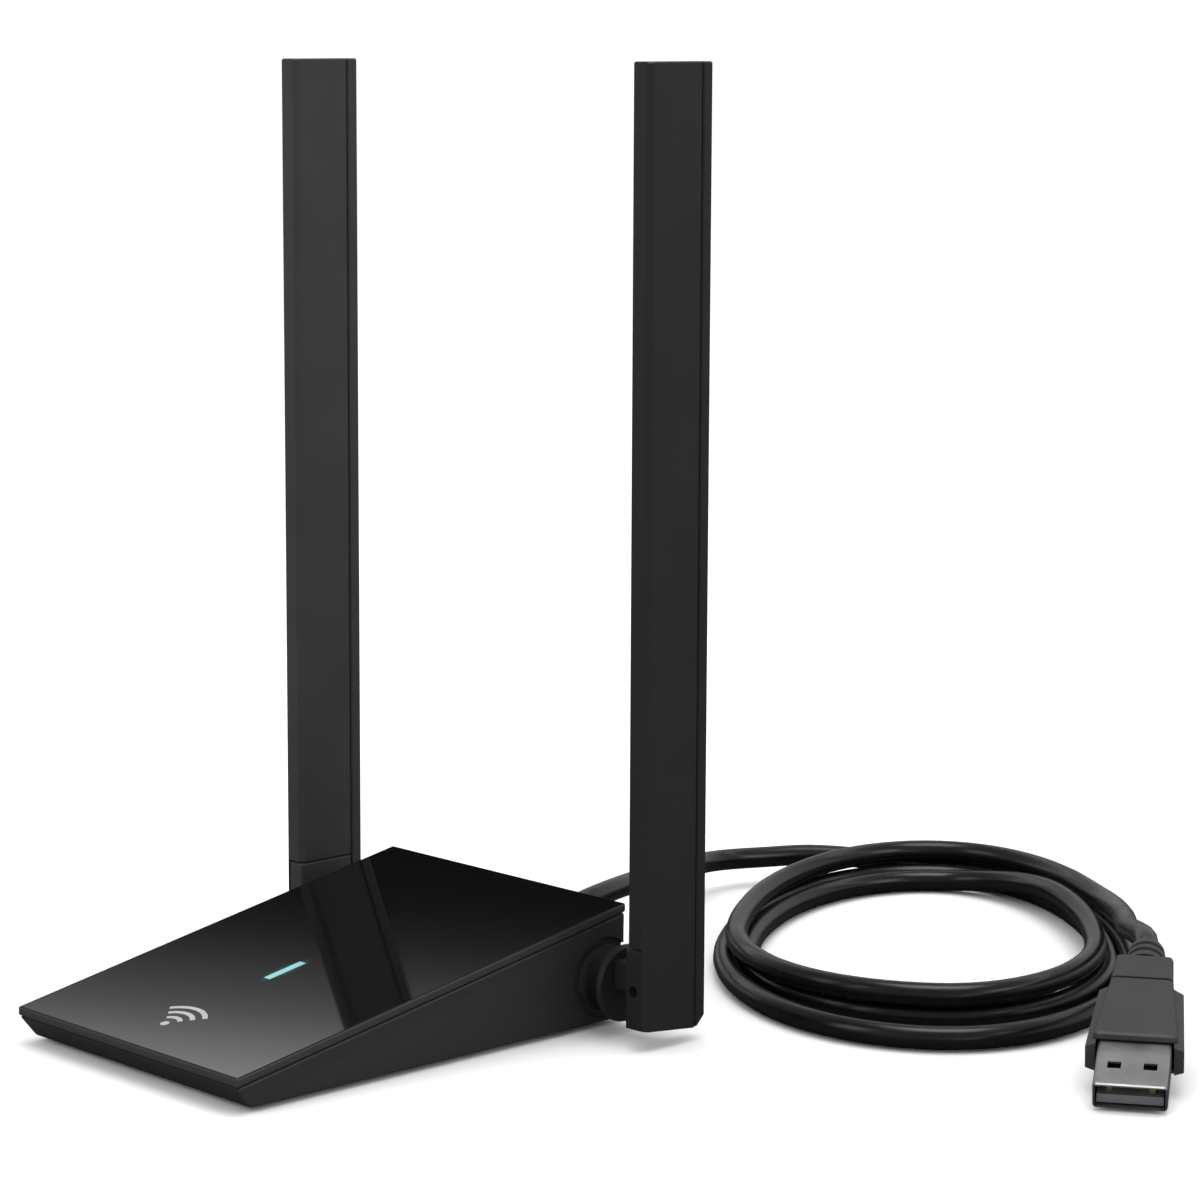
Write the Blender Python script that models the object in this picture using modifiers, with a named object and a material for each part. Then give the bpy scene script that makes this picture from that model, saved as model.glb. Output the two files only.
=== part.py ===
"""USB wifi adapter: wedge base, two hinged blade antennas, a coiled cord and a type A plug.

Lengths are in millimetres and become metres in the helpers. Y runs from the low front
edge (0) to the back; the helpers move it so that the origin is under the box's middle.
"""

import math

import bmesh
import bpy
import numpy as np
from mathutils import Matrix, Vector

MM = 0.001
BOX_DEPTH = 89.2  # from the front edge to the back of the antennas
GAP = 0.3  # between pieces that touch

# Base
BASE_LENGTH = 86.1
FRONT_HALF = 30.1
BACK_HALF = 31.0
FRONT_TOP = 6.25
BACK_TOP = 21.3
LIP = 1.6  # visible edge of the top cover
WALL = 1.8
FLOOR_UNDER = 0.7
UNDERCUT = 3.2  # the front of the bottom sits behind the lip
DRAFT = 0.5
FOOT_RADIUS = 4.0

# Hinges
HINGE_Y = 81.2
HINGE_Z = 8.75
BOSS_FACE = 34.8
BOSS_RADIUS = 5.8
RECESS_RADIUS = 7.2
DISC_OUT = 36.4
DISC_RADIUS = 6.8
SHAFT_RADIUS = 2.2
PIN_X = 45.0
PIN_Z = 10.2
PIN_RADIUS = 0.85
TONGUE_WIDTH = 6.0

# Antennas
CUT_IN = 30.0  # the antennas' cutters reach from here
CUT_OUT = 60.0  # to here
BLADE_IN = 43.1
BLADE_OUT = 47.9
BLADE_FRONT = 74.0
BLADE_SEAM = 86.2
BLADE_BACK = 89.2
BLADE_BOTTOM = 1.5
BLADE_TOP = 166.7
FORK_TOP = 17.5
SKIN = 0.9

# Cord and plug
CORD_RADIUS = 2.1
COIL_TURN = math.radians(40.5)  # the oval coil's long axis lies this far from +Y
COIL_X = 43.1
COIL_Y = 154.7
COIL_HEIGHT = 8.0
# How far the coil's inner and outer edges reach from its centre, on each side of it.
COIL_RIGHT = (27.2, 37.8)
COIL_FAR = (59.7, 73.9)
COIL_LEFT = (32.5, 41.0)
COIL_NEAR = (40.7, 58.4)
NOSE = (125.0, 107.0, 2.45)
PLUG_YAW = math.radians(34.4)
PLUG_PITCH = math.radians(16.0)
SHELL_WIDTH = 12.0
SHELL_HEIGHT = 4.5
SHELL_WALL = 0.35
PLUG_LENGTH = 47.0  # from the nose to where the cord leaves
LEAD_ROUTE = (
    (8.0, 89.5, 14.0), (7.7, 95.0, 14.6), (5.6, 102.0, 15.0), (0.0, 116.0, 14.2),
    (-7.5, 131.0, 12.2), (-15.2, 145.0, 9.9), (-21.8, 156.0, 7.9), (-26.3, 164.5, 6.6),
    (-27.6, 172.5, 5.8), (-25.3, 181.0, 5.4), (-20.6, 190.6, 5.2), (-15.8, 197.4, 4.9),
)
TAIL_ROUTE = (
    (67.0, 180.0, 10.4), (72.3, 173.5, 10.9), (77.9, 167.0, 11.9), (86.6, 158.4, 14.0),
    (95.2, 149.3, 16.0),
)


def clear_scene():
    for obj in list(bpy.data.objects):
        bpy.data.objects.remove(obj, do_unlink=True)


clear_scene()
PARTS = bpy.data.collections.new("parts")
CUTTERS = bpy.data.collections.new("cutters")
bpy.context.scene.collection.children.link(PARTS)
bpy.context.scene.collection.children.link(CUTTERS)
CUTTERS.hide_render = True


def place(point):
    """A point in millimetres from the front edge, in the part's frame in metres."""
    x, y, z = point
    return Vector((x * MM, (y - BOX_DEPTH / 2) * MM, z * MM))


def material(name, colour, roughness=0.5, metallic=0.0):
    made = bpy.data.materials.get(name)
    if made is None:
        made = bpy.data.materials.new(name)
        made.use_nodes = True
        shader = made.node_tree.nodes["Principled BSDF"]
        shader.inputs["Base Color"].default_value = (*colour, 1.0)
        shader.inputs["Roughness"].default_value = roughness
        shader.inputs["Metallic"].default_value = metallic
    return made


def finish_mesh(name, bm, look, cutter=False):
    bmesh.ops.recalc_face_normals(bm, faces=bm.faces)
    mesh = bpy.data.meshes.new(name)
    bm.to_mesh(mesh)
    bm.free()
    obj = bpy.data.objects.new(name, mesh)
    if cutter:
        CUTTERS.objects.link(obj)
        obj.hide_render = True
        obj.display_type = "WIRE"
    else:
        PARTS.objects.link(obj)
        mesh.materials.append(material("mat_" + name, *look))
    return obj


def hexa(name, low, high, look=None):
    """A block between two loops of corners, each loop in order round the block."""
    bm = bmesh.new()
    rings = []
    for loop in (low, high):
        rings.append([bm.verts.new(place(point)) for point in loop])
    count = len(low)
    bm.faces.new(rings[0][::-1])
    bm.faces.new(rings[1])
    for i in range(count):
        j = (i + 1) % count
        bm.faces.new((rings[0][i], rings[0][j], rings[1][j], rings[1][i]))
    return finish_mesh(name, bm, look, cutter=look is None)


def box(name, low, high, look=None):
    (x0, y0, z0), (x1, y1, z1) = low, high
    loop = ((x0, y0), (x1, y0), (x1, y1), (x0, y1))
    return hexa(name, [(x, y, z0) for x, y in loop], [(x, y, z1) for x, y in loop], look)


def prism(name, outline, start, end, axis, look=None):
    """An outline of (a, b) pairs pushed along an axis: (y, z) for X, (x, z) for Y, (x, y) for Z."""
    def corner(a, b, along):
        return {"X": (along, a, b), "Y": (a, along, b), "Z": (a, b, along)}[axis]
    low = [corner(a, b, start) for a, b in outline]
    high = [corner(a, b, end) for a, b in outline]
    return hexa(name, low, high, look)


def lathe(name, profile, centre, axis, look=None, closed=False, steps=40):
    """A turned piece: (radius, position along the axis) pairs, from one end to the other."""
    bm = bmesh.new()
    rings = []
    for radius, along in profile:
        ring = []
        for i in range(steps if radius > 0 else 1):
            turn = 2 * math.pi * i / steps
            a = radius * math.cos(turn)
            b = radius * math.sin(turn)
            x, y, z = {"X": (along, a, b), "Y": (b, along, a), "Z": (a, b, along)}[axis]
            ring.append(bm.verts.new(place((centre[0] + x, centre[1] + y, centre[2] + z))))
        rings.append(ring)
    pairs = list(zip(rings, rings[1:]))
    if closed:
        pairs.append((rings[-1], rings[0]))
    for first, second in pairs:
        for i in range(steps):
            j = (i + 1) % steps
            if len(first) == 1:
                bm.faces.new((first[0], second[j], second[i]))
            elif len(second) == 1:
                bm.faces.new((first[i], first[j], second[0]))
            else:
                bm.faces.new((first[i], first[j], second[j], second[i]))
    return finish_mesh(name, bm, look, cutter=look is None)


def rod(name, centre, axis, radius, start, end, look=None, steps=40):
    profile = ((0, start), (radius, start), (radius, end), (0, end))
    return lathe(name, profile, centre, axis, look, steps=steps)


def ring(name, centre, axis, inner, outer, start, end, look):
    profile = ((inner, start), (outer, start), (outer, end), (inner, end))
    return lathe(name, profile, centre, axis, look, closed=True)


def triangulate(obj):
    """Before a Boolean, so that a face whose corners aren't in one plane is split one way only."""
    obj.modifiers.new("triangles", "TRIANGULATE")


def combine(obj, others, operation):
    for other in others:
        triangulate(other)
        other.hide_render = True
        modifier = obj.modifiers.new(other.name, "BOOLEAN")
        modifier.operation = operation
        modifier.solver = "EXACT"
        modifier.object = other


def cut(obj, *others):
    combine(obj, others, "DIFFERENCE")


def join(obj, *others):
    combine(obj, others, "UNION")


def bevel(obj, width, segments=2, angle=40.0):
    modifier = obj.modifiers.new("edges", "BEVEL")
    modifier.width = width * MM
    modifier.segments = segments
    modifier.limit_method = "ANGLE"
    modifier.angle_limit = math.radians(angle)
    modifier.use_clamp_overlap = True


def tube(name, points, radius, look):
    """A cord: a curve through points in the part's frame, closed at both ends."""
    data = bpy.data.curves.new(name, "CURVE")
    data.dimensions = "3D"
    data.bevel_depth = radius * MM
    data.bevel_resolution = 3
    data.use_fill_caps = True
    spline = data.splines.new("POLY")
    spline.points.add(len(points) - 1)
    for knot, point in zip(spline.points, points):
        knot.co = (*place(point), 1.0)
    obj = bpy.data.objects.new(name, data)
    PARTS.objects.link(obj)
    data.materials.append(material("mat_" + name, *look))
    return obj


def smooth(route, spacing):
    """Evenly spaced points on a smooth curve through the route."""
    knots = np.array([route[0], *route, route[-1]], float)
    dense = []
    for i in range(1, len(knots) - 2):
        a, b, c, d = knots[i - 1:i + 3]
        for t in np.linspace(0, 1, 24, endpoint=False):
            dense.append(0.5 * (2 * b + (c - a) * t + (2 * a - 5 * b + 4 * c - d) * t ** 2
                                + (3 * b - a - 3 * c + d) * t ** 3))
    dense.append(knots[-1])
    dense = np.array(dense)
    along = np.concatenate([[0], np.cumsum(np.linalg.norm(np.diff(dense, axis=0), axis=1))])
    wanted = np.linspace(0, along[-1], max(2, round(along[-1] / spacing) + 1))
    return list(zip(*(np.interp(wanted, along, dense[:, k]) for k in range(3))))


def pivot(name, point):
    """An empty on a joint's axis, for the pieces that turn about it."""
    obj = bpy.data.objects.new(name, None)
    obj.location = place(point)
    obj.empty_display_size = 0.005
    PARTS.objects.link(obj)
    return obj


def attach(parent, *children):
    for child in children:
        child.parent = parent
        child.matrix_parent_inverse = Matrix.Translation(-parent.location)


def top_at(y):
    return FRONT_TOP + (BACK_TOP - FRONT_TOP) * y / BASE_LENGTH


def half_at(y):
    return FRONT_HALF + (BACK_HALF - FRONT_HALF) * y / BASE_LENGTH


def sloped_loop(inset, drop):
    """Four corners on the sloped top, moved inwards and down."""
    y0 = inset
    y1 = BASE_LENGTH - inset
    x0 = half_at(y0) - inset
    x1 = half_at(y1) - inset
    z0 = top_at(y0) - drop
    z1 = top_at(y1) - drop
    return [(-x0, y0, z0), (x0, y0, z0), (x1, y1, z1), (-x1, y1, z1)]


def flat_loop(inset, z, front):
    y0 = front + inset
    y1 = BASE_LENGTH - inset
    x0 = FRONT_HALF - DRAFT - inset
    x1 = BACK_HALF - DRAFT - inset
    return [(-x0, y0, z), (x0, y0, z), (x1, y1, z), (-x1, y1, z)]


GLOSS = ((0.012, 0.012, 0.013), 0.12)
MATTE = ((0.022, 0.022, 0.023), 0.5)
METAL = ((0.6, 0.6, 0.62), 0.3, 1.0)
GOLD = ((0.8, 0.6, 0.25), 0.3, 1.0)
BOARD = ((0.02, 0.12, 0.06), 0.5)
CHIP = ((0.03, 0.03, 0.03), 0.4)
COAX = ((0.05, 0.05, 0.05), 0.4)
RUBBER = ((0.03, 0.03, 0.03), 0.8)
TONGUE_GREY = ((0.35, 0.35, 0.36), 0.5)
CORD = ((0.015, 0.015, 0.015), 0.3)

SCREWS = ((-22.0, 12.0), (22.0, 12.0), (-15.0, 75.5), (15.0, 75.5))
STANDOFFS = ((-19.0, 26.0), (19.0, 26.0), (-19.0, 62.0), (19.0, 62.0))
FEET = ((-23.0, 22.0), (23.0, 22.0), (-23.0, 66.0), (23.0, 66.0))
LED_Y = (30.6, 38.6)
CORD_EXIT = (8.0, 0.0, 14.0)


def build_base():
    cover = hexa("top_cover", sloped_loop(0, LIP), sloped_loop(0, 0), GLOSS)
    bevel(cover, 0.35, 2)
    for i, (x, y) in enumerate(SCREWS):
        boss = rod(f"cover_boss_{i}", (x, y, 0), "Z", 2.6, 2.9, top_at(y) - 0.7, steps=24)
        pilot = rod(f"cover_pilot_{i}", (x, y, 0), "Z", 1.25, 2.0, top_at(y) - 1.2, steps=24)
        join(cover, boss)
        cut(cover, pilot)
    cut(cover, box("led_slot", (-0.85, LED_Y[0] - 0.1, 2), (0.85, LED_Y[1] + 0.1, 25)))

    housing_top = sloped_loop(0.12, LIP + 0.12)
    housing = hexa("lower_housing", flat_loop(0, FLOOR_UNDER, UNDERCUT), housing_top, MATTE)
    bevel(housing, 0.4, 2)
    inside = hexa(
        "housing_inside", flat_loop(WALL, FLOOR_UNDER + WALL, UNDERCUT), sloped_loop(WALL + 0.25, -2.0)
    )
    triangulate(housing)
    triangulate(inside)
    cut(housing, inside)
    for i, (x, y) in enumerate(STANDOFFS):
        join(housing, rod(f"standoff_{i}", (x, y, 0), "Z", 2.0, 1.6, 4.2, steps=24))
    for i, (x, y) in enumerate(SCREWS):
        cut(
            housing,
            rod(f"screw_head_hole_{i}", (x, y, 0), "Z", 2.5, -1.0, 1.5, steps=24),
            rod(f"screw_hole_{i}", (x, y, 0), "Z", 1.3, 1.0, 4.0, steps=24),
        )
    for i, (x, y) in enumerate(FEET):
        cut(housing, rod(f"foot_recess_{i}", (x, y, 0), "Z", FOOT_RADIUS + GAP, -1.0, 1.4, steps=32))
    for side, name in ((-1, "left"), (1, "right")):
        centre = (0, HINGE_Y, HINGE_Z)
        groove = rod(f"hinge_recess_{name}", centre, "X", RECESS_RADIUS, side * 29.9, side * 33.0)
        boss = rod(f"hinge_boss_{name}", centre, "X", BOSS_RADIUS, side * 27.4, side * BOSS_FACE)
        bore = rod(f"hinge_bore_{name}", centre, "X", SHAFT_RADIUS + 0.2, side * 20, side * 40)
        cut(housing, groove)
        join(housing, boss)
        cut(housing, bore)
    cut(housing, rod("cable_hole", CORD_EXIT, "Y", 3.3, 80, 90, steps=32))

    for i, (x, y) in enumerate(FEET):
        profile = ((0, 0.0), (FOOT_RADIUS - 0.4, 0.0), (FOOT_RADIUS, 0.4), (FOOT_RADIUS, 1.1), (0, 1.1))
        lathe(f"foot_{i + 1}", profile, (x, y, 0), "Z", RUBBER, steps=32)
    for i, (x, y) in enumerate(SCREWS):
        end = top_at(y) - 1.6
        profile = ((0, 0.75), (0.6, 0.35), (2.2, 0.35), (2.2, 1.2), (0.95, 1.2), (0.95, end), (0, end))
        lathe(f"case_screw_{i + 1}", profile, (x, y, 0), "Z", METAL, steps=20)

    board = box("circuit_board", (-23, 20, 4.5), (23, 70, 5.5), BOARD)
    for i, (x, y) in enumerate(STANDOFFS):
        cut(board, rod(f"board_hole_{i}", (x, y, 0), "Z", 0.8, 3, 7, steps=20))
    box("wifi_chip", (-4.5, 45.5, 5.8), (4.5, 54.5, 6.8), CHIP)
    can = box("shield_can", (-9, 41, 5.8), (9, 59, 8.4), METAL)
    bevel(can, 0.25, 1)
    cut(can, box("can_inside", (-8.6, 41.4, 5.0), (8.6, 58.6, 8.0)))
    box("clock_crystal", (12, 44, 5.8), (15.2, 46.5, 6.7), METAL)
    box("led_emitter", (-0.8, 33.6, 5.8), (0.8, 35.6, 6.5), ((0.8, 0.9, 0.9), 0.3))
    x = 0.75
    low = [(-x, LED_Y[0], 6.8), (x, LED_Y[0], 6.8), (x, LED_Y[1], 6.8), (-x, LED_Y[1], 6.8)]
    high = [(a, b, top_at(b) + 0.02) for a, b, _ in low]
    hexa("light_pipe", low, high, ((0.3, 0.8, 0.85), 0.2))
    box("cord_header", (3.5, 62.5, 5.8), (12.5, 67.5, 9.4), ((0.7, 0.68, 0.6), 0.4))
    profile = ((0, 83.0), (4.4, 83.0), (4.4, 83.8), (3.0, 83.8), (3.0, 86.4), (4.0, 86.4))
    profile += ((4.0, 87.2), (3.3, 87.4), (2.9, 89.0), (0, 89.0))
    lathe("cable_grommet", profile, CORD_EXIT, "Y", RUBBER, steps=32)


def bottom_slope(name, side):
    """Cuts the antenna's foot, which is a little lower at the back."""
    return prism(name, ((70, -5), (95, -5), (95, 1.35), (70, 4.05)), side * CUT_IN, side * CUT_OUT, "X")


def build_side(side, name):
    centre = (0, HINGE_Y, HINGE_Z)
    y0 = HINGE_Y - TONGUE_WIDTH / 2
    y1 = HINGE_Y + TONGUE_WIDTH / 2
    s = side
    route = ((14.4, 56.6, 6.6), (17.5, 58.5, 6.7), (20.2, 64.0, 7.0), (20.8, 72.0, 7.8), (21.6, 78.5, 8.6))
    route += ((24.1, HINGE_Y, HINGE_Z),)
    tube(f"coax_{name}", smooth([(s * x, y, z) for x, y, z in route], 2.5), 0.6, COAX)
    ring(f"rf_connector_{name}", (s * 12.2, 56.0, 0), "Z", 0.6, 1.5, 5.8, 7.1, GOLD)

    # The knuckle turns in the boss: shaft, disc and tongue in one piece.
    profile = ((0, 24.6), (1.9, 24.6), (SHAFT_RADIUS, 25.0), (SHAFT_RADIUS, 25.4), (1.6, 25.4), (1.6, 26.6))
    profile += ((SHAFT_RADIUS, 26.6), (SHAFT_RADIUS, BOSS_FACE + GAP), (DISC_RADIUS - 0.4, BOSS_FACE + GAP))
    profile += ((DISC_RADIUS, BOSS_FACE + GAP + 0.4), (DISC_RADIUS, DISC_OUT - 0.5))
    profile += ((DISC_RADIUS - 0.5, DISC_OUT), (0, DISC_OUT))
    knuckle = lathe(f"hinge_knuckle_{name}", [(r, s * x) for r, x in profile], centre, "X", MATTE, steps=48)
    tip = 1.7
    outline = [(s * (DISC_OUT - 0.8), PIN_Z - tip), (s * PIN_X, PIN_Z - tip)]
    for step in range(1, 8):
        turn = -math.pi / 2 + math.pi * step / 8
        outline.append((s * (PIN_X + tip * math.cos(turn)), PIN_Z + tip * math.sin(turn)))
    outline += [(s * PIN_X, PIN_Z + tip), (s * (PIN_X - 2.3), PIN_Z + tip)]
    outline += [(s * (PIN_X - 3.2), PIN_Z + 3.2), (s * (DISC_OUT - 0.8), PIN_Z + 3.2)]
    join(knuckle, prism(f"tongue_{name}", outline, y0, y1, "Y"))
    cut(knuckle, rod(f"tongue_hole_{name}", (s * PIN_X, 0, PIN_Z), "Y", PIN_RADIUS + 0.2, 60, 100, steps=24))
    retainer = ring(f"retainer_ring_{name}", centre, "X", 1.9, 2.85, s * 25.7, s * 26.3, METAL)
    washer = ring(f"friction_washer_{name}", centre, "X", 2.4, 2.85, s * 26.65, s * 27.1, METAL)

    # The fork and the antenna turn about the cross pin.
    pin = rod(f"tilt_pin_{name}", (s * PIN_X, 0, PIN_Z), "Y", PIN_RADIUS, 75.6, 85.9, METAL, steps=24)
    inner = s * BLADE_IN
    middle = s * (BLADE_OUT - SKIN - GAP)
    fork = prism(
        f"hinge_fork_{name}",
        ((inner, BLADE_BOTTOM), (middle, BLADE_BOTTOM), (middle, FORK_TOP), (inner, FORK_TOP)),
        BLADE_FRONT, BLADE_SEAM, "Y", MATTE,
    )
    bevel(fork, 0.3, 1)
    cut(
        fork,
        box(
            f"fork_notch_{name}", (min(s * CUT_IN, s * (PIN_X + 1.95)), y0 - GAP, -5),
            (max(s * CUT_IN, s * (PIN_X + 1.95)), y1 + GAP, PIN_Z + 2.05),
        ),
        rod(f"fork_hole_{name}", (s * PIN_X, 0, PIN_Z), "Y", PIN_RADIUS + 0.15, 60, 100, steps=24),
        bottom_slope(f"fork_bottom_{name}", s),
    )
    skin_in = s * (BLADE_OUT - SKIN)
    outer = s * BLADE_OUT
    chamfer = 0.9
    section = (
        (inner, BLADE_FRONT + chamfer), (s * (BLADE_IN + chamfer), BLADE_FRONT),
        (s * (BLADE_OUT - chamfer), BLADE_FRONT), (outer, BLADE_FRONT + chamfer),
        (outer, BLADE_SEAM), (inner, BLADE_SEAM),
    )
    shell = prism(f"antenna_shell_{name}", section, BLADE_BOTTOM, BLADE_TOP, "Z", MATTE)
    bevel(shell, 0.25, 1, 50)
    hollow = box(
        f"shell_hollow_{name}", (min(s * (BLADE_IN + SKIN), skin_in), BLADE_FRONT + 1.3, FORK_TOP + 2.0),
        (max(s * (BLADE_IN + SKIN), skin_in), 95, BLADE_TOP - 1.3),
    )
    slot = box(
        f"shell_foot_{name}", (min(s * CUT_IN, skin_in), 60, -5),
        (max(s * CUT_IN, skin_in), 100, FORK_TOP + GAP),
    )
    cut(shell, hollow, slot, bottom_slope(f"shell_bottom_{name}", s))
    back = (
        (inner, BLADE_SEAM + GAP), (outer, BLADE_SEAM + GAP), (outer, BLADE_BACK - 0.8),
        (s * (BLADE_OUT - 0.8), BLADE_BACK), (s * (BLADE_IN + 0.8), BLADE_BACK), (inner, BLADE_BACK - 0.8),
    )
    cover = prism(f"antenna_back_{name}", back, BLADE_BOTTOM, BLADE_TOP, "Z", MATTE)
    bevel(cover, 0.25, 1, 50)
    corner = prism(
        f"back_corner_{name}",
        ((70, -5), (95, -5), (95, 11.0), (BLADE_SEAM + 0.2, 2.25)),
        s * CUT_IN, s * CUT_OUT, "X",
    )
    cut(cover, corner)
    element = box(
        f"antenna_element_{name}", (min(s * 45.2, s * 45.8), 77, 24), (max(s * 45.2, s * 45.8), 85, 158), GOLD
    )
    swivel = pivot(f"swivel_axis_{name}", (s * BOSS_FACE, HINGE_Y, HINGE_Z))
    tilt = pivot(f"tilt_axis_{name}", (s * PIN_X, HINGE_Y, PIN_Z))
    attach(swivel, knuckle, retainer, washer, tilt)
    attach(tilt, pin, fork, shell, cover, element)


def coil_point(turn, share):
    """A point of the oval at an angle round it, from the inner edge at share -1 to the outer at 1."""
    side = COIL_RIGHT if math.cos(turn) > 0 else COIL_LEFT
    end = COIL_FAR if math.sin(turn) > 0 else COIL_NEAR
    a, b = ((low + high + share * (high - low)) / 2 for low, high in (side, end))
    a *= math.cos(turn)
    b *= math.sin(turn)
    x = COIL_X + a * math.cos(COIL_TURN) - b * math.sin(COIL_TURN)
    y = COIL_Y + a * math.sin(COIL_TURN) + b * math.cos(COIL_TURN)
    return x, y


def build_cord():
    tube("cord_lead", smooth(LEAD_ROUTE, 9.0), CORD_RADIUS, CORD)
    bm = bmesh.new()
    loops = []
    around = 64
    section = 14
    for i in range(around):
        turn = 2 * math.pi * i / around
        loop = []
        for j in range(section):
            lean = 2 * math.pi * j / section
            x, y = coil_point(turn, math.cos(lean))
            loop.append(bm.verts.new(place((x, y, COIL_HEIGHT / 2 * (1 + math.sin(lean)) + 0.02))))
        loops.append(loop)
    for loop, following in zip(loops, loops[1:] + loops[:1]):
        for j in range(section):
            k = (j + 1) % section
            bm.faces.new((loop[j], following[j], following[k], loop[k]))
    finish_mesh("cord_coil", bm, CORD)

    place_plug = Matrix.Translation(place(NOSE)) @ Matrix.Rotation(PLUG_YAW, 4, "Z")
    place_plug = place_plug @ Matrix.Rotation(PLUG_PITCH, 4, "X")
    before = place((0, 0, 0))
    end = place_plug @ Vector((0, PLUG_LENGTH * MM, 0))
    end = (end.x / MM, end.y / MM + BOX_DEPTH / 2, end.z / MM)
    tube("cord_tail", smooth((*TAIL_ROUTE, end), 8.5), CORD_RADIUS, CORD)

    def seat(*objects):
        """Moves pieces built along Y from the frame's front edge to where the plug lies."""
        for obj in objects:
            obj.data.transform(place_plug @ Matrix.Translation(-before))

    half = SHELL_WIDTH / 2
    tall = SHELL_HEIGHT / 2
    shell = box("plug_shell", (-half, 0, -tall), (half, 18.0, tall), METAL)
    bevel(shell, 0.5, 2)
    wide = half - SHELL_WALL
    high = tall - SHELL_WALL
    inside = box("shell_inside", (-wide, -5, -high), (wide, 17.5, high))
    windows = [box(f"window_{i}", (x - 1.1, 5.2, 0.5), (x + 1.1, 7.2, 6)) for i, x in enumerate((-2.9, 2.9))]
    cut(shell, inside, *windows)
    tongue = box("plug_tongue", (-half + 0.65, 0.9, -tall + 0.65), (half - 0.65, 17.0, -0.05), TONGUE_GREY)
    contacts = []
    for i, x in enumerate((-3.5, -1.0, 1.0, 3.5)):
        start = 1.4 if i in (0, 3) else 2.4
        contacts.append(box(f"plug_contact_{i + 1}", (x - 0.5, start, 0.2), (x + 0.5, 9.6, 0.45), GOLD))
    outline = ((-7.0, 13.4), (7.0, 13.4), (5.2, 32.0), (4.8, 40.0), (-4.8, 40.0), (-5.2, 32.0))
    body = prism("plug_body", outline, -3.6, 3.6, "Z", MATTE)
    rails = []
    for s in (-1, 1):
        low = [(s * 6.4, 11.8, -2.6), (s * 8.0, 11.8, -2.0), (s * 8.0, 11.8, 2.0), (s * 6.4, 11.8, 2.6)]
        high = [(s * 4.6, 31.5, -2.4), (s * 7.0, 30.5, -1.6), (s * 7.0, 30.5, 1.6), (s * 4.6, 31.5, 2.4)]
        rails.append(hexa(f"body_rail_{s}", low, high))
    bevel(body, 0.8, 2)
    groove = box("body_groove", (-9, 31.7, 3.15), (9, 32.3, 6))
    pocket = box("body_pocket", (-half - GAP, 5, -tall - GAP), (half + GAP, 18.3, tall + GAP))
    join(body, *rails)
    cut(body, pocket, groove)
    profile = ((0, 40.3), (3.5, 40.3), (3.5, 41.6), (2.8, 41.8), (2.8, 42.6), (3.4, 42.8))
    profile += ((3.4, 43.8), (2.7, 44.0), (2.7, 44.9), (3.2, 45.1), (3.0, 46.5), (0, 46.5))
    relief = lathe("plug_strain_relief", profile, (0, 0, 0), "Y", RUBBER, steps=32)
    seat(shell, inside, *windows, tongue, *contacts, body, *rails, pocket, groove, relief)


build_base()
for direction, word in ((-1, "left"), (1, "right")):
    build_side(direction, word)
build_cord()
for piece in PARTS.objects:
    if any(modifier.type == "BOOLEAN" for modifier in piece.modifiers):
        weld = piece.modifiers.new("weld", "WELD")
        weld.merge_threshold = 0.000002
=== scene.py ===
"""USB wifi adapter: the looks, cord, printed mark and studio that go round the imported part."""

import math

import bmesh
import bpy
import numpy as np
from mathutils import Matrix, Vector


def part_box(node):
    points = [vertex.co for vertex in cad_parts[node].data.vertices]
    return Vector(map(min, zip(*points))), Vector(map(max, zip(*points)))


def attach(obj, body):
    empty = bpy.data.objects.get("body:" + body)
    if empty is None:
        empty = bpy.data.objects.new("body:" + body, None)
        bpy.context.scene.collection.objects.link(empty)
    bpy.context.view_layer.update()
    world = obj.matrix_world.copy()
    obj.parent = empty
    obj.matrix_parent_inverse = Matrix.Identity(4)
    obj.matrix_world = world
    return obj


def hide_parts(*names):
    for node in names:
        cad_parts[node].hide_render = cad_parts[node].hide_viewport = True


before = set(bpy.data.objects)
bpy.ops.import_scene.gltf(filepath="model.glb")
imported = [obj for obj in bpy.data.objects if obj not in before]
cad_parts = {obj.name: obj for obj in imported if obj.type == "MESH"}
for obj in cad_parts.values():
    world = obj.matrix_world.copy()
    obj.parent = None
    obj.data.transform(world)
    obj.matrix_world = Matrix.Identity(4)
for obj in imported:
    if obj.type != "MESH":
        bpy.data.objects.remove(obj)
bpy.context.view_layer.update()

MM = 0.001
DEPTH = 89.2  # from the base's front edge to the back of the antennas

# The base's sloped top
BASE_LENGTH = 86.1
FRONT_TOP = 6.25
BACK_TOP = 21.3
SLOPE = (BACK_TOP - FRONT_TOP) / BASE_LENGTH

# The dark film in the seam between each antenna's two halves
SEAM_FRONT = 86.22
SEAM_BACK = 86.48
SEAM_IN = 43.5
SEAM_OUT = 47.5
SEAM_BOTTOM = 3.5
SEAM_TOP = 166.3

# Cord and plug
CORD_RADIUS = 2.1
CORD_SPACING = 3.0  # between the points of its middle line
COIL_TURN = math.radians(40.5)  # the oval coil's long axis lies this far from +Y
COIL_X = 43.1
COIL_Y = 154.7
LEAD = (
    (8.0, 89.5, 14.0), (7.7, 95.0, 14.6), (5.6, 102.0, 15.0), (0.0, 116.0, 14.2),
    (-7.5, 131.0, 12.2), (-15.2, 145.0, 9.9), (-21.8, 156.0, 7.9), (-26.3, 164.5, 6.6),
    (-27.6, 172.5, 5.8), (-25.3, 181.0, 5.4), (-20.6, 190.6, 5.2), (-12.8, 200.8, 4.0),
)
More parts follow.
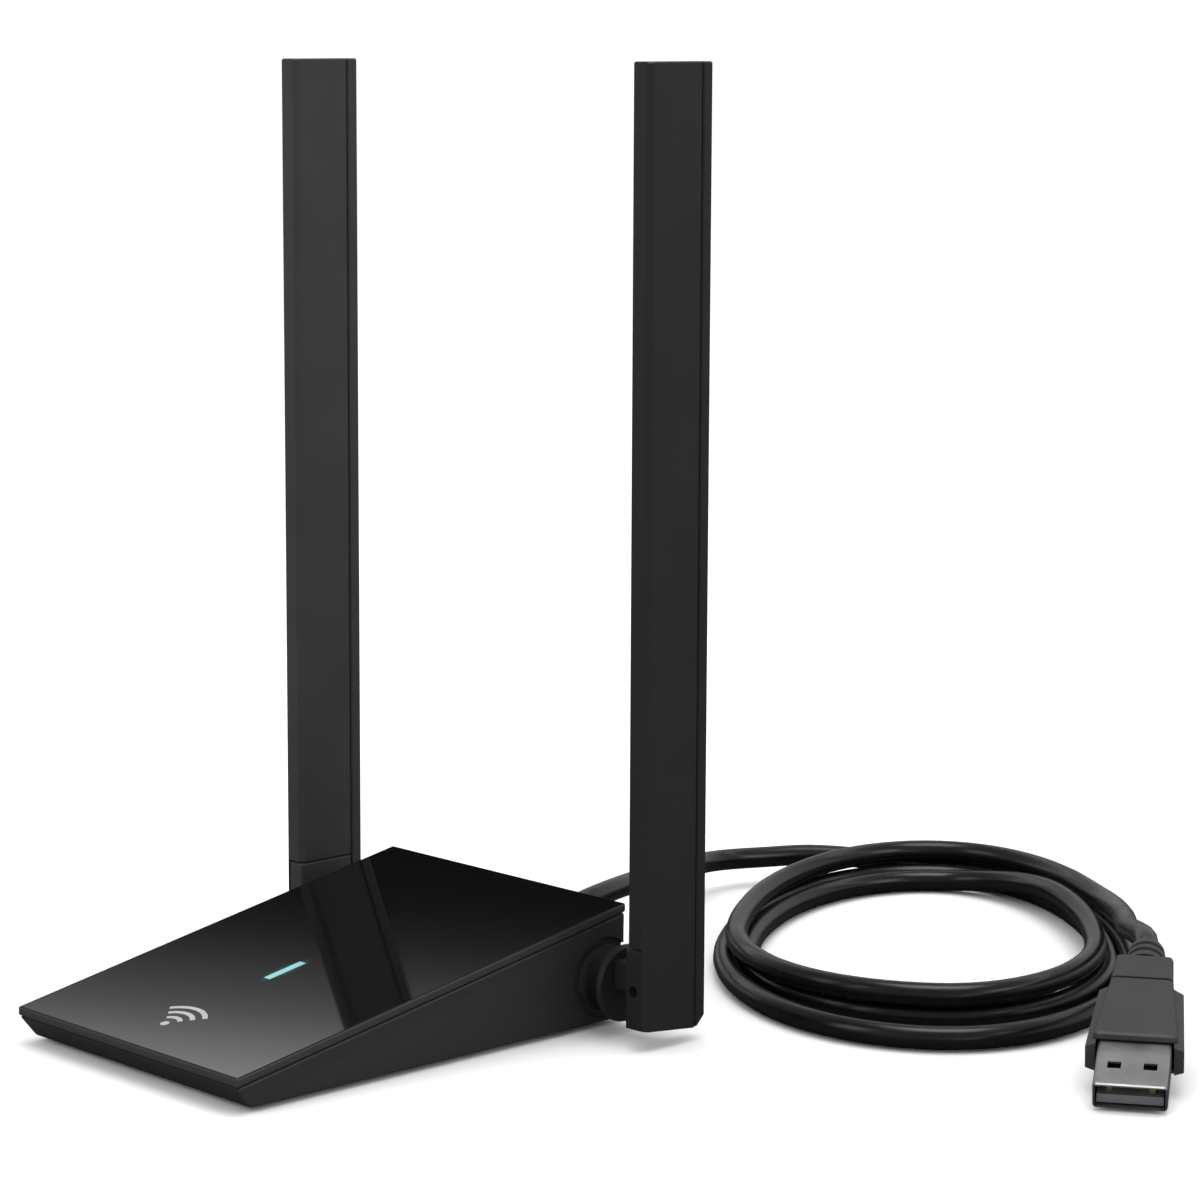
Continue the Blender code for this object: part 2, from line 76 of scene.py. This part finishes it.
# The coil, clockwise from its far end: its reach from the centre and its height, at each quarter turn.
QUARTERS = (
    (72.2, 2.5), (35.8, 2.15), (56.3, 2.15), (38.9, 2.15),
    (67.3, 2.15), (31.5, 2.15), (42.8, 2.15), (34.6, 2.15),
    (61.8, 2.15), (29.3, 5.9), (43.8, 6.4), (36.75, 6.1),
    (69.8, 6.5), (34.6, 6.9),
)
COIL_END = 12.6  # quarter turns from its start to where the tail leaves it
COIL_STEP = 1 / 14
CLIMB_RATE = 1.6  # the cord reaches its next height before the quarter turn is over
TAIL = (
    (46.6, 198.4, 7.1), (52.8, 193.6, 7.7), (59.4, 187.6, 8.6), (66.0, 180.8, 9.7),
    (72.3, 173.5, 10.9), (77.9, 167.0, 11.9), (86.6, 158.4, 14.0), (95.2, 149.3, 16.0),
)
PLUG_NOSE = (125.0, 107.0, 2.45)
PLUG_YAW = math.radians(34.4)
PLUG_PITCH = math.radians(16.0)
PLUG_LENGTH = 47.0  # from the nose to where the cord leaves

# The printed mark: a dot and three arcs
MARK_Y = 8.6
MARK_DOT = 0.8
MARK_BANDS = ((2.1, 3.0), (4.2, 5.1), (6.3, 7.2))
MARK_START = math.radians(45)
MARK_STOP = math.radians(135)
INK_GAP = 0.005
INK_THICKNESS = 0.02

# Studio: the floor in metres, the camera in millimetres
FLOOR_X = (-4, 4)
FLOOR_Y = (-4, 6)
FLOOR_Z = -0.0002
CAMERA_PLACE = (474.96, -352.61, 171.55)
CAMERA_TURN = math.radians(47.52)
CAMERA_DOWN = math.radians(8.82)
CAMERA_LENS = 109.91
CAMERA_SHIFT = 0.0917


def pt(x, y, z):
    """Millimetres from the middle, the front edge and the floor, as a point of the part's frame."""
    return Vector((x * MM, (y - DEPTH / 2) * MM, z * MM))


# ---------------------------------------------------------------- materials
COAT_ROUGHNESS = 0.05
NOISE_DETAIL = 3.0
GRAIN_DEPTH = 0.00002
ROUGHNESS_SPAN = (0.3, 0.7)  # the noise values that give the least and the most roughness
TINT_SPAN = (0.35, 0.65)  # the noise values that give the first and the second colour


class Look:
    """A Principled material whose colour, roughness and bump come from nodes."""

    def __init__(self, name, colour, rough, metallic=0.0, coat=0.0, spec=0.5):
        self.mat = bpy.data.materials.new(name)
        self.mat.use_nodes = True
        self.tree = self.mat.node_tree
        self.shader = self.tree.nodes["Principled BSDF"]
        put = self.shader.inputs
        put["Base Color"].default_value = (*colour, 1)
        put["Roughness"].default_value = rough
        put["Metallic"].default_value = metallic
        put["Coat Weight"].default_value = coat
        put["Coat Roughness"].default_value = COAT_ROUGHNESS
        put["Specular IOR Level"].default_value = spec
        self.colour = colour
        self.rough = rough

    def node(self, kind, **values):
        made = self.tree.nodes.new(kind)
        for key, value in values.items():
            setattr(made, key, value)
        return made

    def link(self, a, b):
        self.tree.links.new(a, b)

    def coords(self):
        return self.node("ShaderNodeTexCoord").outputs["Object"]

    def noise(self, scale):
        made = self.node("ShaderNodeTexNoise")
        made.inputs["Scale"].default_value = scale
        made.inputs["Detail"].default_value = NOISE_DETAIL
        self.link(self.coords(), made.inputs["Vector"])
        return made.outputs["Fac"]

    def grain(self, scale, strength):
        """A fine bump."""
        bump = self.node("ShaderNodeBump")
        bump.inputs["Strength"].default_value = strength
        bump.inputs["Distance"].default_value = GRAIN_DEPTH
        self.link(self.noise(scale), bump.inputs["Height"])
        self.link(bump.outputs["Normal"], self.shader.inputs["Normal"])
        return self

    def vary(self, scale, amount):
        """Roughness that wanders by this much either way."""
        ramp = self.node("ShaderNodeMapRange")
        ramp.inputs["From Min"].default_value = ROUGHNESS_SPAN[0]
        ramp.inputs["From Max"].default_value = ROUGHNESS_SPAN[1]
        ramp.inputs["To Min"].default_value = self.rough - amount
        ramp.inputs["To Max"].default_value = self.rough + amount
        self.link(self.noise(scale), ramp.inputs["Value"])
        self.link(ramp.outputs["Result"], self.shader.inputs["Roughness"])
        return self

    def tint(self, scale, low, high):
        """The colour times a noise between two factors."""
        ramp = self.node("ShaderNodeValToRGB")
        for element, place, factor in zip(ramp.color_ramp.elements, TINT_SPAN, (low, high)):
            element.position = place
            element.color = (*[c * factor for c in self.colour], 1)
        self.link(self.noise(scale), ramp.inputs["Fac"])
        self.link(ramp.outputs["Color"], self.shader.inputs["Base Color"])
        return self

    def glow(self, colour, strength):
        self.shader.inputs["Emission Color"].default_value = (*colour, 1)
        self.shader.inputs["Emission Strength"].default_value = strength
        return self


POLISHED_BLACK = (0.002, 0.002, 0.0022)
EDGE_BLACK = (0.026, 0.026, 0.0265)
HOUSING_BLACK = (0.020, 0.020, 0.0206)
# The housing's colour on the hinge bosses is painted shade, darker than the walls.
BOSS_PAINTED_SHADE = (0.006, 0.006, 0.006)


def antenna_look(name, colour):
    return Look(name, colour, 0.42).grain(6000, 0.2).tint(60, 0.94, 1.06).vary(70, 0.03)


gloss = Look("gloss_black", POLISHED_BLACK, 0.1)
matte = Look("matte_black", HOUSING_BLACK, 0.42).grain(5200, 0.25).vary(90, 0.03)
# Painted light: both antennas are one plastic, but the left antenna and its hinge fork get a lighter copy of
# the colour and the right ones a darker copy, as light falls on them.
blade = antenna_look("antenna_black", (0.011, 0.011, 0.0114))
blade_left_painted_lighter = antenna_look("antenna_black_left_painted_lighter", (0.028, 0.028, 0.0288))
hinge = Look("hinge_black", (0.013, 0.013, 0.0135), 0.34).grain(5200, 0.2).tint(90, 0.92, 1.08)
rubber = Look("rubber", (0.012, 0.012, 0.012), 0.75).grain(3000, 0.4).tint(120, 0.9, 1.1)
pvc = Look("cord_black", (0.003, 0.003, 0.003), 0.27, spec=0.6)
pvc.grain(5000, 0.08).tint(90, 0.9, 1.1).vary(120, 0.04)
plug_black = Look("plug_grey", (0.032, 0.032, 0.0335), 0.45).grain(4500, 0.3).tint(120, 0.93, 1.07)
steel = Look("shell_steel", (0.42, 0.42, 0.42), 0.36, metallic=1.0)
steel.grain(900, 0.12).tint(300, 0.92, 1.06).vary(200, 0.05)
screw = Look("screw_steel", (0.5, 0.5, 0.52), 0.3, metallic=1.0).tint(200, 0.9, 1.1).vary(300, 0.05)
gold = Look("gold", (0.83, 0.6, 0.25), 0.25, metallic=1.0).tint(200, 0.9, 1.1)
board = Look("board_green", (0.012, 0.075, 0.035), 0.35, coat=0.4).tint(350, 0.7, 1.3)
chip = Look("chip", (0.02, 0.02, 0.021), 0.45).grain(4000, 0.2).tint(200, 0.9, 1.1)
ivory = Look("header_ivory", (0.55, 0.52, 0.42), 0.5).tint(200, 0.95, 1.05)
grey = Look("tongue_grey", (0.10, 0.10, 0.105), 0.5).grain(3000, 0.2).tint(150, 0.95, 1.05)
led = Look("led_teal", (0.16, 0.34, 0.35), 0.35).tint(400, 0.9, 1.1).glow((0.22, 0.46, 0.47), 0.55)
print_grey = Look("print_grey", (0.42, 0.42, 0.43), 0.4).tint(500, 0.95, 1.05)


def zone(look, low, high, axis="X", source="Object"):
    """0 to 1 as the size of a coordinate, or of a part of the surface's direction, goes from low to high."""
    split = look.node("ShaderNodeSeparateXYZ")
    look.link(look.node("ShaderNodeTexCoord").outputs[source], split.inputs[0])
    size = look.node("ShaderNodeMath", operation="ABSOLUTE")
    look.link(split.outputs[axis], size.inputs[0])
    found = look.node("ShaderNodeMapRange")
    found.inputs["From Min"].default_value = low
    found.inputs["From Max"].default_value = high
    look.link(size.outputs[0], found.inputs["Value"])
    return found.outputs["Result"]


def blend_roughness(look, factor, first, second):
    made = look.node("ShaderNodeMapRange")
    made.inputs["To Min"].default_value = first
    made.inputs["To Max"].default_value = second
    look.link(factor, made.inputs["Value"])
    look.link(made.outputs["Result"], look.shader.inputs["Roughness"])


def blend_colours(look, factor, first, second):
    made = look.node("ShaderNodeMix", data_type="RGBA")
    # The colour sockets of a Mix node share their names with its other types, so they go by number.
    made.inputs[6].default_value = (*first, 1)
    made.inputs[7].default_value = (*second, 1)
    look.link(factor, made.inputs[0])
    look.link(made.outputs[2], look.shader.inputs["Base Color"])


def polish_cover(edge_rough=0.4, top_rough=0.055, edge_normal=0.55, top_normal=0.97):
    """The cover's top is polished, and its edge is matt."""
    polished = zone(gloss, edge_normal, top_normal, "Z", "Normal")
    blend_colours(gloss, polished, EDGE_BLACK, POLISHED_BLACK)
    blend_roughness(gloss, polished, edge_rough, top_rough)


def window_halo(half_width=2.0, half_length=6.2, start=0.45, strength=0.5):
    """Light from the status window spreads a little way in the cover."""
    window_low, window_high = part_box("light_pipe")
    spread = gloss.node("ShaderNodeVectorMath", operation="SUBTRACT")
    spread.inputs[1].default_value = (Vector(window_low) + Vector(window_high)) / 2
    gloss.link(gloss.coords(), spread.inputs[0])
    shape = gloss.node("ShaderNodeVectorMath", operation="MULTIPLY")
    shape.inputs[1].default_value = (1 / (half_width * MM), 1 / (half_length * MM), 0)
    gloss.link(spread.outputs["Vector"], shape.inputs[0])
    away = gloss.node("ShaderNodeVectorMath", operation="LENGTH")
    gloss.link(shape.outputs["Vector"], away.inputs[0])
    halo = gloss.node("ShaderNodeMapRange", interpolation_type="SMOOTHSTEP")
    halo.inputs["From Min"].default_value = start
    halo.inputs["From Max"].default_value = 1.0
    halo.inputs["To Min"].default_value = strength
    halo.inputs["To Max"].default_value = 0.0
    gloss.link(away.outputs["Value"], halo.inputs["Value"])
    gloss.shader.inputs["Emission Color"].default_value = (0.012, 0.12, 0.13, 1)
    gloss.link(halo.outputs["Result"], gloss.shader.inputs["Emission Strength"])


def paint_boss_shade(wall=31.2, boss=32.4):
    """Painted shade: past the walls the housing's colour goes darker on the bosses that hold the hinges,
    where shade falls.
    """
    blend_colours(matte, zone(matte, wall * MM, boss * MM), HOUSING_BLACK, BOSS_PAINTED_SHADE)


polish_cover()
window_halo()
paint_boss_shade()

# A node's look is the first whose words its name starts with.
LOOKS = (
    ("top_cover", gloss), ("lower_housing", matte), ("light_pipe", led), ("led_emitter", led),
    ("antenna_element", gold), ("antenna_shell_left", blade_left_painted_lighter), ("antenna_back_left", blade_left_painted_lighter),
    ("antenna_", blade), ("hinge_fork_left", blade_left_painted_lighter), ("hinge_fork_right", blade), ("hinge_", hinge),
    ("tilt_pin", screw), ("retainer", screw), ("friction_washer", screw), ("case_screw", screw),
    ("foot_", rubber), ("coax_", rubber), ("cable_grommet", rubber), ("rf_connector", gold),
    ("circuit_board", board), ("wifi_chip", chip), ("shield_can", screw), ("clock_crystal", screw),
    ("cord_header", ivory), ("cord_", pvc), ("plug_body", plug_black), ("plug_strain_relief", plug_black),
    ("plug_shell", steel), ("plug_tongue", grey), ("plug_contact", gold),
)
for name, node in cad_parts.items():
    look = next(found for words, found in LOOKS if name.startswith(words))
    node.data.materials.clear()
    node.data.materials.append(look.mat)


def new_mesh(name, bm, look, body="base"):
    bmesh.ops.recalc_face_normals(bm, faces=bm.faces)
    mesh = bpy.data.meshes.new(name)
    bm.to_mesh(mesh)
    bm.free()
    obj = bpy.data.objects.new(name, mesh)
    bpy.context.scene.collection.objects.link(obj)
    mesh.materials.append(look.mat)
    if body:
        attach(obj, body)
    return obj


# ---------------------------------------------------------------- seams
def seam_film(name, side, body):
    """A dark film between an antenna's two halves, so that no light comes through the seam."""
    bm = bmesh.new()
    made = bmesh.ops.create_cube(bm, size=1.0)["verts"]
    size = ((SEAM_OUT - SEAM_IN) * MM, (SEAM_BACK - SEAM_FRONT) * MM, (SEAM_TOP - SEAM_BOTTOM) * MM)
    bmesh.ops.scale(bm, vec=size, verts=made)
    middle = pt(side * (SEAM_IN + SEAM_OUT) / 2, (SEAM_FRONT + SEAM_BACK) / 2, (SEAM_BOTTOM + SEAM_TOP) / 2)
    bmesh.ops.translate(bm, vec=middle, verts=made)
    new_mesh(name, bm, hinge, body)


seam_film("seam_film_left", -1, "left_antenna")
seam_film("seam_film_right", 1, "right_antenna")


# ---------------------------------------------------------------- cord
def ease(t):
    t = min(1.0, t)
    return t * t * (3 - 2 * t)


def coil_point(quarter):
    """The cord's middle line after so many quarter turns."""
    first = int(quarter)
    (reach, high), (next_reach, next_high) = QUARTERS[first:first + 2]
    across, along = (next_reach, reach) if first % 2 == 0 else (reach, next_reach)
    turn = math.radians(90 * (1 - quarter))
    a = across * math.cos(turn)
    b = along * math.sin(turn)
    x = COIL_X + a * math.cos(COIL_TURN) - b * math.sin(COIL_TURN)
    y = COIL_Y + a * math.sin(COIL_TURN) + b * math.cos(COIL_TURN)
    return (x, y, high + (next_high - high) * ease(CLIMB_RATE * (quarter - first)))


def smooth(route, spacing, samples=16):
    """Evenly spaced points on a smooth curve through the route."""
    knots = np.array([route[0], *route, route[-1]], float)
    dense = []
    for i in range(1, len(knots) - 2):
        a, b, c, d = knots[i - 1:i + 3]
        for t in np.linspace(0, 1, samples, endpoint=False):
            dense.append(0.5 * (2 * b + (c - a) * t + (2 * a - 5 * b + 4 * c - d) * t ** 2
                                + (3 * b - a - 3 * c + d) * t ** 3))
    dense.append(knots[-1])
    dense = np.array(dense)
    along = np.concatenate([[0], np.cumsum(np.linalg.norm(np.diff(dense, axis=0), axis=1))])
    wanted = np.linspace(0, along[-1], round(along[-1] / spacing) + 1)
    return np.stack([np.interp(wanted, along, dense[:, k]) for k in range(3)], axis=1)


def plug_end():
    """Where the cord meets the plug, in millimetres."""
    plug = Matrix.Translation(pt(*PLUG_NOSE)) @ Matrix.Rotation(PLUG_YAW, 4, "Z")
    end = plug @ Matrix.Rotation(PLUG_PITCH, 4, "X") @ Vector((0, PLUG_LENGTH * MM, 0))
    return (end.x / MM, end.y / MM + DEPTH / 2, end.z / MM)


def tube(name, points, radius, look):
    data = bpy.data.curves.new(name, "CURVE")
    data.dimensions = "3D"
    data.bevel_depth = radius * MM
    data.bevel_resolution = 5
    data.use_fill_caps = True
    spline = data.splines.new("POLY")
    spline.points.add(len(points) - 1)
    for knot, point in zip(spline.points, points):
        knot.co = (*pt(*point), 1.0)
    obj = bpy.data.objects.new(name, data)
    bpy.context.scene.collection.objects.link(obj)
    data.materials.append(look.mat)
    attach(obj, "base")
    return obj


coil = [coil_point(quarter) for quarter in np.arange(0, COIL_END, COIL_STEP)]
cord = tube("cord", smooth([*LEAD, *coil, *TAIL, plug_end()], CORD_SPACING), CORD_RADIUS, pvc)
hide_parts("cord_lead", "cord_coil", "cord_tail")


# ---------------------------------------------------------------- printed mark
def printed(name, outlines):
    """Flat printed shapes on the sloped top. Each outline is a closed loop of (x, y)."""
    bm = bmesh.new()
    for outline in outlines:
        on_top = [pt(x, y, FRONT_TOP + SLOPE * y + INK_GAP) for x, y in outline]
        low = [bm.verts.new(point) for point in on_top]
        high = [bm.verts.new(point + Vector((0, 0, INK_THICKNESS * MM))) for point in on_top]
        bm.faces.new(low[::-1])
        bm.faces.new(high)
        for i in range(len(outline)):
            j = (i + 1) % len(outline)
            bm.faces.new((low[i], low[j], high[j], high[i]))
    new_mesh(name, bm, print_grey)


def arc(radius, start, stop, steps):
    """Points round the mark's centre, from one angle to the other."""
    angles = [start + (stop - start) * i / steps for i in range(steps + 1)]
    return [(radius * math.cos(a), MARK_Y + radius * math.sin(a)) for a in angles]


def arc_band(inner, outer, steps=14):
    return arc(outer, MARK_START, MARK_STOP, steps) + arc(inner, MARK_STOP, MARK_START, steps)


dot = arc(MARK_DOT, 0, 2 * math.pi, 20)[:-1]
printed("printed_mark", [dot, *[arc_band(inner, outer) for inner, outer in MARK_BANDS]])


# ---------------------------------------------------------------- studio
def lay_floor():
    look = Look("floor", (0.93, 0.93, 0.93), 0.9, spec=0.0).tint(4, 0.995, 1.0)
    # Seen in a reflection the floor is dark, as a studio's flags make it.
    mix = look.node("ShaderNodeMixShader")
    dark = look.node("ShaderNodeBsdfDiffuse")
    dark.inputs["Color"].default_value = (0.05, 0.05, 0.05, 1)
    look.link(look.node("ShaderNodeLightPath").outputs["Is Glossy Ray"], mix.inputs["Fac"])
    look.link(look.shader.outputs["BSDF"], mix.inputs[1])
    look.link(dark.outputs["BSDF"], mix.inputs[2])
    look.link(mix.outputs["Shader"], look.tree.nodes["Material Output"].inputs["Surface"])
    (left, right), (front, back) = FLOOR_X, FLOOR_Y
    bm = bmesh.new()
    for x, y in ((left, front), (right, front), (right, back), (left, back)):
        bm.verts.new((x, y, FLOOR_Z))
    bm.faces.new(bm.verts)
    new_mesh("floor", bm, look, body=None)


def place_camera():
    data = bpy.data.cameras.new("camera")
    camera = bpy.data.objects.new("camera", data)
    bpy.context.scene.collection.objects.link(camera)
    bpy.context.scene.camera = camera
    level = math.cos(CAMERA_DOWN)
    ahead = Vector((-math.sin(CAMERA_TURN) * level, math.cos(CAMERA_TURN) * level, -math.sin(CAMERA_DOWN)))
    camera.location = pt(*CAMERA_PLACE)
    camera.rotation_euler = ahead.to_track_quat("-Z", "Y").to_euler()
    data.sensor_width = 36.0
    data.lens = CAMERA_LENS
    data.shift_x = CAMERA_SHIFT
    data.clip_start = 0.01
    data.clip_end = 50.0


def area_light(name, where, target, size, power):
    data = bpy.data.lights.new(name, "AREA")
    data.energy = power
    data.shape = "SQUARE"
    data.size = size
    obj = bpy.data.objects.new(name, data)
    bpy.context.scene.collection.objects.link(obj)
    obj.location = where
    obj.rotation_euler = (Vector(target) - Vector(where)).to_track_quat("-Z", "Y").to_euler()


SEEN_STRENGTH = 1.05
SOFT_STRENGTH = 1.1
MIRRORED_STRENGTH = 1.5
# The light that reflections see: a ceiling that hangs lower in front, with a dark band below it.
CEILING_TILT = (0, -0.5, 1)
CEILING = (
    (0.0, 0.30), (0.09, 0.12), (0.15, 0.006), (0.175, 0.004), (0.19, 0.035), (0.213, 0.26), (0.236, 1.1),
    (0.28, 0.95), (0.36, 0.2), (1.0, 0.12),
)


def build_world():
    """One light for what the camera sees, one for matt surfaces and one for reflections."""
    world = bpy.data.worlds.new("studio")
    bpy.context.scene.world = world
    world.use_nodes = True
    nodes = world.node_tree.nodes
    links = world.node_tree.links
    nodes.clear()

    def background(strength):
        made = nodes.new("ShaderNodeBackground")
        made.inputs["Color"].default_value = (1, 1, 1, 1)
        made.inputs["Strength"].default_value = strength
        return made

    def mix(factor, first, second):
        made = nodes.new("ShaderNodeMixShader")
        links.new(factor, made.inputs["Fac"])
        links.new(first, made.inputs[1])
        links.new(second, made.inputs[2])
        return made.outputs["Shader"]

    seen = background(SEEN_STRENGTH)
    soft = background(SOFT_STRENGTH)
    mirrored = background(MIRRORED_STRENGTH)
    tilted = nodes.new("ShaderNodeVectorMath")
    tilted.operation = "DOT_PRODUCT"
    tilted.inputs[1].default_value = CEILING_TILT
    links.new(nodes.new("ShaderNodeTexCoord").outputs["Generated"], tilted.inputs[0])
    ramp = nodes.new("ShaderNodeValToRGB")
    stops = ramp.color_ramp.elements
    for height, _ in CEILING[1:-1]:
        stops.new(height)
    for stop, (height, level) in zip(stops, CEILING):
        stop.position = height
        stop.color = (level, level, level, 1)
    links.new(tilted.outputs["Value"], ramp.inputs["Fac"])
    links.new(ramp.outputs["Color"], mirrored.inputs["Color"])
    rays = nodes.new("ShaderNodeLightPath").outputs
    lit = mix(rays["Is Glossy Ray"], soft.outputs["Background"], mirrored.outputs["Background"])
    whole = mix(rays["Is Camera Ray"], lit, seen.outputs["Background"])
    links.new(whole, nodes.new("ShaderNodeOutputWorld").inputs["Surface"])


lay_floor()
place_camera()
area_light("overhead", (0.1, 0.15, 1.6), (0.05, 0.1, 0), size=1.0, power=9)
area_light("front_left", (-0.6, -1.4, 0.9), (0, 0, 0.05), size=0.9, power=3)
area_light("right_soft", (1.5, 0.5, 0.7), (0.05, 0.05, 0.05), size=0.7, power=2)
build_world()
bpy.context.scene.view_settings.view_transform = "Standard"
bpy.context.scene.view_settings.look = "None"
